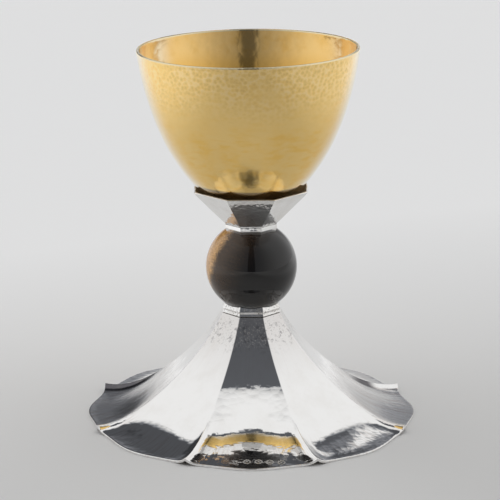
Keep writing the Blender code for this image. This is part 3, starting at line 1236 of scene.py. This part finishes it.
@dataclass(frozen=True)
class Silver(Finish):
    """Polished silver with hammer facets, small pits and a little tarnish.

    The foot is also brushed at its sides, clouded and smudged towards its neck, painted with a dark
    reflection beside two of its ridges, planished straighter in front and struck with a row of plain punch
    marks.
    """

    clean: Colour = (0.93, 0.925, 0.915)
    metal: float = 1.0
    polish: float = 0.045
    scratched: float = 0.11
    dull: Colour = (0.62, 0.57, 0.50)
    tarnish: float = 0.12
    tarnish_size: float = 0.010
    # The dull inner side, whose colour is also painted shade in the gaps and under the foot
    inner_dull_and_shade: Colour = (0.80, 0.64, 0.42)
    hidden_metal: float = 0.2
    hidden_roughness: float = 0.5
    facet_size: float = 0.0030
    facet_depth: float = 0.010
    grain_size: float = 0.0005
    grain_depth: float = 0.006
    lobe: Range = (0.052, 0.062)
    lobe_facets: float = 2.6
    pit: Colour = (0.22, 0.20, 0.17)
    pit_rarity: float = 0.62
    pit_relief: float = 0.00003
    pits_above: Range = NOWHERE
    pits_below: Range = NOWHERE
    side_share: Range = (0.915, 0.930)
    side_start: Range = (0.025, 0.050)
    line_turns: float = 90.0
    line_out: float = 70.0
    line_depth: float = 0.0
    line_roughness: float = 0.0
    line_tone: Colour = (0.78, 0.72, 0.69)
    line_shown: Range = (0.42, 0.70)
    faint_lines: float = 0.6
    clouded: Colour = (0.76, 0.745, 0.73)
    cloud: Range = NOWHERE
    smudge: Colour = (0.44, 0.43, 0.43)
    smudge_size: float = 0.0020
    smudge_seed: float = 2.6
    smudge_shown: Range = (0.20, 1.0)
    smudges_above: Range = NOWHERE
    smudges_below: Range = NOWHERE
    # A painted dark reflection on the horn flanks
    flank_dark_reflection: Colour = (0.13, 0.125, 0.135)
    flank_front: Range = (0.0050, 0.0030)
    flank_back: Range = (-0.0006, 0.0)
    flank_out: Range = NOWHERE
    flank_right: Range = (0.0, 0.001)
    flank_right_end: Range = (0.05704, 0.06256)
    punches: tuple[float, ...] = ()
    punch_row: float = -0.0668
    punch_radius: float = 0.0014
    punch_line: Range = (0.00036, 0.00018)
    punch_dot: Range = (0.000504, 0.000288)
    punch_tone: Colour = (0.62, 0.60, 0.57)
    punch_roughness: float = 0.45
    punch_relief: float = 0.00006
    straightening: float = 0.0
    straight_share: Range = (-0.918, -0.930)
    straight_middle: float = 0.0462
    straight_reach: Range = (0.0118, 0.0)
    seed: float = 0.0

    def make(self, dressing: Dressing) -> bpy.types.Material:
        """Build the material.

        Args:
            dressing: The shared groups.

        Returns:
            The material.
        """
        tree = Coat(self.name)
        facets = tree.group(dressing.hand_work, Facet_Size=self.facet_size, Facet_Depth=self.facet_depth,
                            Grain_Size=self.grain_size, Grain_Depth=self.grain_depth)["Height"]
        lines = tree.group(dressing.brushing, Turns=self.line_turns, Out=self.line_out, Up=0.0,
                           Depth=self.line_depth)
        patches = tree.group(dressing.tarnish, Patch_Size=self.tarnish_size, Amount=self.tarnish,
                             Seed=self.seed)["Mask"]
        pits = tree.times(tree.group(dressing.pitting, Rarity=self.pit_rarity)["Mask"],
                          tree.rise(tree.z, *self.pits_above), tree.rise(tree.z, *self.pits_below))
        stamped = self._punched(tree)
        # The gores at the sides are brushed, and the others are polished
        aside = tree.math("DIVIDE", tree.math("ABSOLUTE", tree.x), tree.radius)
        side = tree.times(tree.rise(aside, *self.side_share), tree.rise(tree.radius, *self.side_start))
        lobe = tree.rise(tree.radius, *self.lobe)
        tone = self._ground(tree, dressing, lines["Mask"], side, lobe)
        for mask, colour in ((patches, self.dull), (pits, self.pit), (stamped, self.punch_tone)):
            tone = tree.over(mask, tone, colour)
        rough = tree.plus(tree.spread(patches, self.polish, self.scratched),
                          tree.times(side, self.line_roughness), tree.times(stamped, self.punch_roughness))
        # The hammer facets are left deeper in the lobes
        height = tree.plus(tree.times(facets, tree.spread(lobe, 1.0, self.lobe_facets)),
                           tree.times(lines["Height"], side), tree.times(pits, -self.pit_relief),
                           tree.times(stamped, self.punch_relief))
        bump = tree.add("ShaderNodeBump", Strength=1.0, Distance=1.0, Height=height,
                        Normal=self._planished(tree))
        # The inner side is dull, and its colour is also painted shade for the gaps and the hollow under the
        # foot
        tree.join(tree.shader, Base_Color=tree.over(tree.outside, self.inner_dull_and_shade, tone),
                  Roughness=tree.between(tree.outside, self.hidden_roughness, rough),
                  Metallic=tree.spread(tree.outside, self.hidden_metal, self.metal), Normal=bump.outputs[0])
        return tree.material

    def _ground(self, tree: Coat, dressing: Dressing, lines: Socket, side: Socket, lobe: Socket) -> Socket:
        """Return the silver's tone before its tarnish, its pits and its punch marks.

        Args:
            tree: The material's tree.
            dressing: The shared groups.
            lines: The mask of the brushed lines.
            side: The mask of the brushed gores.
            lobe: The mask of the lobes.

        Returns:
            The tone.
        """
        cloud = tree.rise(tree.z, *self.cloud)
        # The brushed gores show their lines, and the neck and the other lobes show them faintly
        faint = tree.times(tree.math("MAXIMUM", cloud, lobe), self.faint_lines)
        lined = tree.times(tree.rise(lines, *self.line_shown), tree.math("MAXIMUM", side, faint))
        spots = tree.group(dressing.tarnish, Patch_Size=self.smudge_size, Amount=1.0,
                           Seed=self.smudge_seed)["Mask"]
        smudged = tree.times(tree.rise(spots, *self.smudge_shown), tree.rise(tree.z, *self.smudges_above),
                             tree.rise(tree.z, *self.smudges_below))
        # Painted dark reflection on the flanks in front of two ridges
        flanks = self._flanks(tree)
        tone = tree.over(cloud, self.clean, self.clouded)
        for mask, colour in ((lined, self.line_tone), (flanks, self.flank_dark_reflection), (smudged, self.smudge)):
            tone = tree.over(mask, tone, colour)
        return tone

    def _flanks(self, tree: Coat) -> Socket:
        """Return the mask of the painted dark reflection in front of the two ridges behind the side gores.

        Args:
            tree: The material's tree.

        Returns:
            The mask.
        """
        turn = 5.0 * HALF_FACET
        beside = tree.times(tree.math("ABSOLUTE", tree.x), -math.cos(turn))
        front = tree.math("MULTIPLY_ADD", tree.y, -math.sin(turn), beside)
        # The right one has the painted dark reflection only at its start
        right = tree.times(tree.rise(tree.x, *self.flank_right),
                           tree.rise(tree.radius, *self.flank_right_end))
        return tree.times(tree.rise(front, *self.flank_front), tree.rise(front, *self.flank_back),
                          tree.rise(tree.radius, *self.flank_out), tree.math("SUBTRACT", 1.0, right))

    def _punched(self, tree: Coat) -> Socket | float:
        """Return the mask of the round punch marks in the front lobe, each a ring with a dot in it.

        Args:
            tree: The material's tree.

        Returns:
            The mask, 1 on the lines that stand up.
        """
        total: Socket | float = 0.0
        for across in self.punches:
            beside = tree.math("SUBTRACT", tree.x, across)
            before = tree.math("SUBTRACT", tree.y, self.punch_row)
            out = tree.math("SQRT", tree.plus(tree.times(beside, beside), tree.times(before, before)))
            ring = tree.rise(tree.away(out, self.punch_radius), *self.punch_line)
            total = tree.plus(total, tree.math("MAXIMUM", ring, tree.rise(out, *self.punch_dot)))
        return total

    def _planished(self, tree: Coat) -> Socket:
        """Return the surface's own direction, tilted outwards where the front gore is planished straighter.

        Args:
            tree: The material's tree.

        Returns:
            The direction for the bump node.
        """
        normal = tree.add("ShaderNodeNewGeometry").outputs["Normal"]
        ahead = tree.rise(tree.math("DIVIDE", tree.y, tree.radius), *self.straight_share)
        near = tree.rise(tree.away(tree.radius, self.straight_middle), *self.straight_reach)
        much = tree.times(ahead, near, self.straightening)
        tilt = tree.vector("SCALE", tree.vector("NORMALIZE", tree.level), Scale=much)
        return tree.vector("NORMALIZE", tree.vector("ADD", normal, tilt))


@dataclass(frozen=True)
class Gilt(Finish):
    """Satin gilding, hammered outside below the lip, polished near the bottom and inside."""

    outer: Colour = (0.94, 0.665, 0.26)
    warm: Colour = (0.93, 0.60, 0.175)
    warm_size: float = 0.008
    warmth: float = 0.7
    warm_low: Range = (0.142, 0.130)
    warm_share: Range = (0.35, 1.0)
    rubbed_turns: float = 5.0
    rubbed_up: float = 420.0
    rubbed_shown: Range = (0.45, 0.75)
    shaded: Colour = (0.74, 0.52, 0.20)
    # A painted highlight on the ridges between the hammer marks
    ridge_highlight: Colour = (0.96, 0.71, 0.34)
    mark_size: float = 0.00175
    mark_randomness: float = 0.85
    mark_depth: float = 0.00005
    mark_tone: float = 0.62
    mark_middle: Range = (0.55, 0.10)
    mark_ridge: Range = (0.48, 0.72)
    marks_above: Range = (0.1370, 0.1580)
    uneven_scale: float = 70.0
    uneven_shown: Range = (0.15, 0.50)
    # Painted shade where the bowl sits down in the calyx
    gap_shade: Colour = (0.38, 0.29, 0.17)
    gap_shade_below: Range = (0.1087, 0.1077)
    inner: Colour = (0.95, 0.63, 0.24)
    deep: Colour = (0.88, 0.52, 0.13)
    deep_below: Range = (0.160, 0.148)
    # A painted reflection at the far ends of the inner wall
    side_reflection: Colour = (0.99, 0.89, 0.68)
    pale_out: Range = (0.033, 0.046)
    low_inside: Colour = (0.97, 0.78, 0.48)
    low_below: Range = (0.148, 0.130)
    grazing_sheen: Colour = (0.99, 0.93, 0.80)
    grazing: Range = (0.54, 0.98)
    # A painted highlight along the top of the lip
    lip: Colour = (0.88, 0.76, 0.50)
    lip_edge: Range = (0.16555, 0.16585)
    lip_lean: float = -0.0148
    lip_polish: float = 0.06
    satin: float = 0.25
    satin_above: Range = (0.116, 0.125)
    polished: float = 0.135
    inside: float = 0.13
    inner_flare: float = 0.13
    inner_dents: float = 1.4
    line_turns: float = 1.5
    line_up: float = 1400.0
    line_depth: float = 0.000004
    facet_size: float = 0.0040
    facet_depth: float = 0.012
    grain_size: float = 0.0004
    grain_depth: float = 0.010
    seed: float = 3.0

    def make(self, dressing: Dressing) -> bpy.types.Material:
        """Build the material.

        Args:
            dressing: The shared groups.

        Returns:
            The material.
        """
        tree = Coat(self.name)
        patches = tree.group(dressing.tarnish, Patch_Size=self.warm_size, Amount=self.warmth,
                             Seed=self.seed)["Mask"]
        marks = tree.add("ShaderNodeTexVoronoi", {"feature": "F1"}, Vector=tree.place,
                         Scale=1.0 / self.mark_size, Randomness=self.mark_randomness).outputs["Distance"]
        uneven = tree.noise(tree.place, self.uneven_scale, detail=1.0)
        shown = tree.times(tree.rise(tree.z, *self.marks_above), tree.rise(uneven, *self.uneven_shown))
        tone = tree.over(tree.outside, self._inner_tone(tree, patches),
                         self._outer_tone(tree, dressing, patches, marks, shown))
        # Painted sheen: the gilding is painted paler where it is seen at a low angle
        facing = tree.add("ShaderNodeLayerWeight", Blend=0.5).outputs["Facing"]
        tone = tree.over(tree.rise(facing, *self.grazing), tone, self.grazing_sheen)
        # Painted highlight: the top of the lip is painted a pale cream
        lip = tree.rise(tree.math("MULTIPLY_ADD", tree.x, self.lip_lean, tree.z), *self.lip_edge)
        satin = tree.spread(tree.rise(tree.z, *self.satin_above), self.polished, self.satin)
        rough = tree.between(lip, tree.between(tree.outside, self.inside, satin), self.lip_polish)
        facets = tree.group(dressing.hand_work, Facet_Size=self.facet_size, Facet_Depth=self.facet_depth,
                            Grain_Size=self.grain_size, Grain_Depth=self.grain_depth)["Height"]
        lines = tree.group(dressing.brushing, Turns=self.line_turns, Out=0.0, Up=self.line_up,
                           Depth=self.line_depth)["Height"]
        # The inner wall opens a little more than the outer one, so that it mirrors what is over the lip
        flare = tree.times(tree.math("SUBTRACT", 1.0, tree.outside), tree.times(tree.z, -self.inner_flare))
        height = tree.plus(tree.times(facets, tree.spread(tree.outside, self.inner_dents, 1.0)), lines, flare,
                           tree.times(marks, shown, tree.outside, self.mark_depth))
        bump = tree.add("ShaderNodeBump", Strength=1.0, Distance=1.0, Height=height)
        tree.join(tree.shader, Base_Color=tree.over(lip, tone, self.lip), Roughness=rough, Metallic=1.0,
                  Normal=bump.outputs[0])
        return tree.material

    def _outer_tone(self, tree: Coat, dressing: Dressing, patches: Socket, marks: Socket,
                    shown: Socket) -> Socket:
        """Return the tone of the outer side.

        Args:
            tree: The material's tree.
            dressing: The shared groups.
            patches: The mask of the warmer patches.
            marks: The distance from the middle of each hammer mark.
            shown: The mask of where the marks show.

        Returns:
            The tone, with painted shade in the marks, a painted highlight on the ridges between them and
            brown painted shade along the seat.
        """
        rubbed = tree.group(dressing.brushing, Turns=self.rubbed_turns, Out=0.0, Up=self.rubbed_up)["Mask"]
        warm = tree.times(tree.plus(patches, tree.rise(rubbed, *self.rubbed_shown)),
                          tree.spread(tree.rise(tree.z, *self.warm_low), *self.warm_share))
        tone = tree.over(warm, self.outer, self.warm)
        # Painted shade in the hammer marks, and a painted highlight on the ridges between them
        sunk = tree.times(tree.rise(marks, *self.mark_middle), shown, self.mark_tone)
        ridge = tree.times(tree.rise(marks, *self.mark_ridge), shown)
        # Painted shade on the bowl where it sits down in the calyx
        seat = tree.rise(tree.z, *self.gap_shade_below)
        for mask, colour in ((sunk, self.shaded), (ridge, self.ridge_highlight), (seat, self.gap_shade)):
            tone = tree.over(mask, tone, colour)
        return tone

    def _inner_tone(self, tree: Coat, patches: Socket) -> Socket:
        """Return the tone of the inner side.

        Args:
            tree: The material's tree.
            patches: The mask of the warmer patches.

        Returns:
            The tone, deeper below the lip, with a painted reflection at the far sides, and paler near the
            bottom.
        """
        deep = tree.math("MAXIMUM", tree.rise(tree.z, *self.deep_below), patches)
        tone = tree.over(deep, self.inner, self.deep)
        # Painted reflection: the far ends of the inner wall are painted paler
        side = tree.rise(tree.math("ABSOLUTE", tree.x), *self.pale_out)
        tone = tree.over(side, tone, self.side_reflection)
        return tree.over(tree.rise(tree.z, *self.low_below), tone, self.low_inside)


@dataclass(frozen=True)
class Quartz(Finish):
    """Polished dark brown stone with a golden silky band over one shoulder, whose chatoyant sheen is painted
    into its colour.
    """

    ground: Colour = (0.0035, 0.0025, 0.0020)
    brown: Colour = (0.085, 0.046, 0.020)
    brown_edge: Range = (-0.51, 0.56)
    brown_share: Range = (0.2, 1.3)
    # The golden fibres, together with the painted sheen of the band
    silk_and_sheen: Colour = (0.74, 0.43, 0.16)
    honey: Colour = (0.37, 0.19, 0.065)
    threads: Range = (0.35, 0.66)
    middle: tuple[float, float, float] = (0.0, 0.0, 0.06847)
    radius: float = 0.0200
    towards: tuple[float, float, float] = (-0.790, 0.525, 0.321)
    stretch: float = 0.94
    band_edge: Range = (0.34, 0.56)
    fibre_scale: float = 2600.0
    fibre_reach: float = 0.16
    cloud_scale: float = 240.0
    cloud_reach: float = 0.22
    roughness: float = 0.04
    bending: float = 1.54

    def make(self, dressing: Dressing) -> bpy.types.Material:
        """Build the material.

        Args:
            dressing: The shared groups, of which the stone needs none.

        Returns:
            The material.
        """
        tree = Coat(self.name)
        out = tree.vector("SUBTRACT", tree.place, self.middle)
        along = tree.math("DIVIDE", tree.vector("DOT_PRODUCT", out, self.towards), self.radius)
        # Fibres run towards the band, so the pattern hardly changes that way
        back = tree.times(along, -self.stretch * self.radius)
        flat = tree.vector("ADD", out, tree.vector("SCALE", self.towards, Scale=back))
        fibres = tree.noise(flat, self.fibre_scale, detail=2.0, roughness=0.6)
        clouds = tree.noise(flat, self.cloud_scale, detail=2.0)
        ragged = along
        for pattern, reach in ((clouds, self.cloud_reach), (fibres, self.fibre_reach)):
            ragged = tree.math("MULTIPLY_ADD", tree.math("SUBTRACT", pattern, 0.5), reach, ragged)
        dark = tree.times(tree.rise(ragged, *self.brown_edge), tree.spread(fibres, *self.brown_share))
        brown = tree.over(dark, self.ground, self.brown)
        # The band's golden fibres are the stone's own colour, and its brightness over one shoulder is a
        # painted sheen
        silk_and_sheen = tree.over(tree.rise(fibres, *self.threads), self.honey, self.silk_and_sheen)
        tree.join(tree.shader, Base_Color=tree.over(tree.rise(ragged, *self.band_edge), brown, silk_and_sheen),
                  Roughness=self.roughness, IOR=self.bending)
        return tree.material


# The studio

@dataclass(frozen=True)
class Panel:
    """A lit or dark stretch of the studio around the object, in degrees from its front and from the level."""

    left: float
    right: float
    low: float
    high: float
    light: float
    side_blur: float
    end_blur: float


@dataclass
class Studio:
    """The camera, the pale floor and the soft light all around."""

    camera_place: tuple[float, float, float] = (0.0, -0.89552, 0.32483)
    camera_tilt: float = math.radians(74.451)
    sensor: float = 36.0
    lens: float = 2099.94 / 500.0 * 36.0
    shift: float = -1.4 / 500.0
    white: float = 0.88
    fill: float = 1.36
    backdrop: float = 0.76
    bright: Range = (0.10, 0.60)
    dark_tint: Colour = (0.94, 0.985, 1.09)
    white_tint: Colour = (1.0, 1.0, 1.0)
    panels: tuple[Panel, ...] = (
        Panel(-48.0, 48.0, -8.0, 73.0, 0.33, 42.0, 4.0),
        Panel(150.0, 206.0, 2.0, 30.0, 0.48, 6.0, 5.0),
        Panel(160.0, 182.0, 14.5, 30.0, 0.24, 5.0, 3.0),
        Panel(185.0, 202.0, 6.0, 30.0, 0.125, 5.0, 4.0),
        Panel(147.0, 174.0, 38.0, 60.0, 0.10, 4.0, 4.0),
        Panel(170.0, 216.0, 26.0, 60.0, 0.08, 4.0, 4.0),
        Panel(197.5, 217.0, 7.5, 34.0, 0.04, 3.5, 3.0),
        Panel(156.0, 166.0, 40.0, 47.0, 0.22, 4.0, 4.0),
        Panel(-90.0, 270.0, 86.5, 100.0, 0.10, 2.0, 0.8),
        Panel(90.0, 269.0, 78.0, 100.0, 0.10, 2.0, 1.0),
        Panel(-9.5, 9.5, -5.0, 72.1, 0.107, 1.5, 0.6),
    )
    floor_radius: float = 8.0
    floor_sides: int = 64
    # Painted shade towards the front of the floor
    floor_front_shade: Colour = (0.52, 0.52, 0.515)
    floor_far: Colour = (0.92, 0.92, 0.92)
    floor_slant: float = -0.4
    floor_depth: Range = (-0.35, 0.32)
    floor_roughness: float = 0.9
    glow: float = 0.26
    glow_slant: float = -0.12
    glow_out: Range = (0.15, 0.38)

    def camera(self) -> None:
        """Add the camera at the photograph's view."""
        data = bpy.data.cameras.new("camera")
        data.sensor_width = self.sensor
        data.lens = self.lens
        data.shift_x = self.shift
        item = bpy.data.objects.new("camera", data)
        item.location = self.camera_place
        item.rotation_euler = (self.camera_tilt, 0.0, 0.0)
        bpy.context.scene.collection.objects.link(item)
        bpy.context.scene.camera = item

    @staticmethod
    def _within(tree: Tree, value: Socket, low: float, high: float, blur: float) -> Socket:
        """Return a mask that is 1 between two angles, with soft ends."""
        return tree.times(tree.rise(value, low - blur, low + blur),
                          tree.rise(value, high + blur, high - blur))

    def light(self) -> None:
        """Light the object from a white tent with its dark openings, and show the camera a plain backdrop."""
        world = bpy.data.worlds.new("studio")
        bpy.context.scene.world = world
        world.use_nodes = True
        tree = Tree(world.node_tree)
        way = tree.add("ShaderNodeTexCoord").outputs["Generated"]
        x, y, z = tree.add("ShaderNodeSeparateXYZ", Vector=way).outputs
        azimuth = tree.math("DEGREES", tree.math("ARCTAN2", x, tree.times(y, -1.0)))
        # From -90 to 270 degrees, so that a panel behind the object is one stretch
        turned = tree.math("FLOORED_MODULO", tree.plus(azimuth, 90.0), 360.0)
        azimuth = tree.math("SUBTRACT", turned, 90.0)
        elevation = tree.math("DEGREES", tree.math("ARCSINE", z))
        light: Socket | float = self.white
        for panel in self.panels:
            mask = tree.times(self._within(tree, azimuth, panel.left, panel.right, panel.side_blur),
                              self._within(tree, elevation, panel.low, panel.high, panel.end_blur))
            light = tree.between(mask, light, panel.light)
        path = tree.add("ShaderNodeLightPath").outputs
        light = tree.between(path["Is Diffuse Ray"], light, tree.times(light, self.fill))
        light = tree.between(path["Is Camera Ray"], light, self.backdrop)
        tint = tree.over(tree.rise(light, *self.bright), self.dark_tint, self.white_tint)
        tree.join(world.node_tree.nodes["Background"], Strength=light, Color=tint)

    def floor(self) -> None:
        """Lay the pale floor, with painted shade that darkens it towards the front, and painted light on it
        from both sides.
        """
        turns = [math.tau * step / self.floor_sides for step in range(self.floor_sides)]
        ring = [(self.floor_radius * math.cos(turn), self.floor_radius * math.sin(turn), 0.0)
                for turn in turns]
        mesh = bpy.data.meshes.new("floor")
        mesh.from_pydata(ring, [], [list(range(self.floor_sides))])
        item = bpy.data.objects.new("floor", mesh)
        bpy.context.scene.collection.objects.link(item)
        tree = Coat("floor")
        # Painted shade: the floor is painted darker towards the front
        near, far = self.floor_depth
        depth = tree.math("MULTIPLY_ADD", tree.x, self.floor_slant, tree.y)
        back = tree.add("ShaderNodeMapRange", Value=depth, From_Min=near, From_Max=far).outputs[0]
        aside = tree.math("MULTIPLY_ADD", tree.y, self.glow_slant, tree.math("ABSOLUTE", tree.x))
        tree.join(tree.shader, Base_Color=tree.over(back, self.floor_front_shade, self.floor_far),
                  Emission_Strength=tree.times(tree.rise(aside, *self.glow_out), self.glow),
                  Emission_Color=(1.0, 1.0, 1.0, 1.0), Roughness=self.floor_roughness, Specular_IOR_Level=0.0)
        mesh.materials.append(tree.material)

    def build(self) -> None:
        """Set up the whole studio."""
        self.camera()
        self.light()
        self.floor()
        bpy.context.scene.view_settings.view_transform = "Standard"


def main() -> None:
    """Build the studio and the chalice, and note their size."""
    logging.basicConfig(level=logging.INFO, format="%(message)s")
    Studio().build()
    dressing = Dressing()
    finishes = {
        # The foot's inner side is painted dark, as painted shade under its raised tips
        "foot": Silver("silver_foot", inner_dull_and_shade=(0.34, 0.30, 0.25), polish=0.03, facet_depth=0.008,
                       line_depth=0.000014, line_roughness=0.16, cloud=(0.018, 0.052),
                       pits_above=(0.034, 0.044), pits_below=(0.049, 0.046),
                       smudges_above=(0.032, 0.041), smudges_below=(0.047, 0.043),
                       flank_out=(0.0460, 0.05336), punches=(-0.0019, 0.0030, 0.0078, 0.0126),
                       straightening=0.080),
        "rings": Silver("silver_rings", tarnish=0.5, facet_size=0.0015, facet_depth=0.02, pit_rarity=0.59,
                        pits_above=(0.046, 0.049), pits_below=(0.055, 0.052), seed=4.0),
        "calyx": Silver("silver_calyx", metal=0.90, polish=0.08, scratched=0.2, tarnish=0.3,
                        facet_size=0.0018, facet_depth=0.045, seed=6.0),
        "stone": Quartz("stone"),
        "bowl": Gilt("gilt"),
    }
    Chalice().build(Raising(), {name: finish.make(dressing) for name, finish in finishes.items()})


if __name__ == "__main__":
    main()
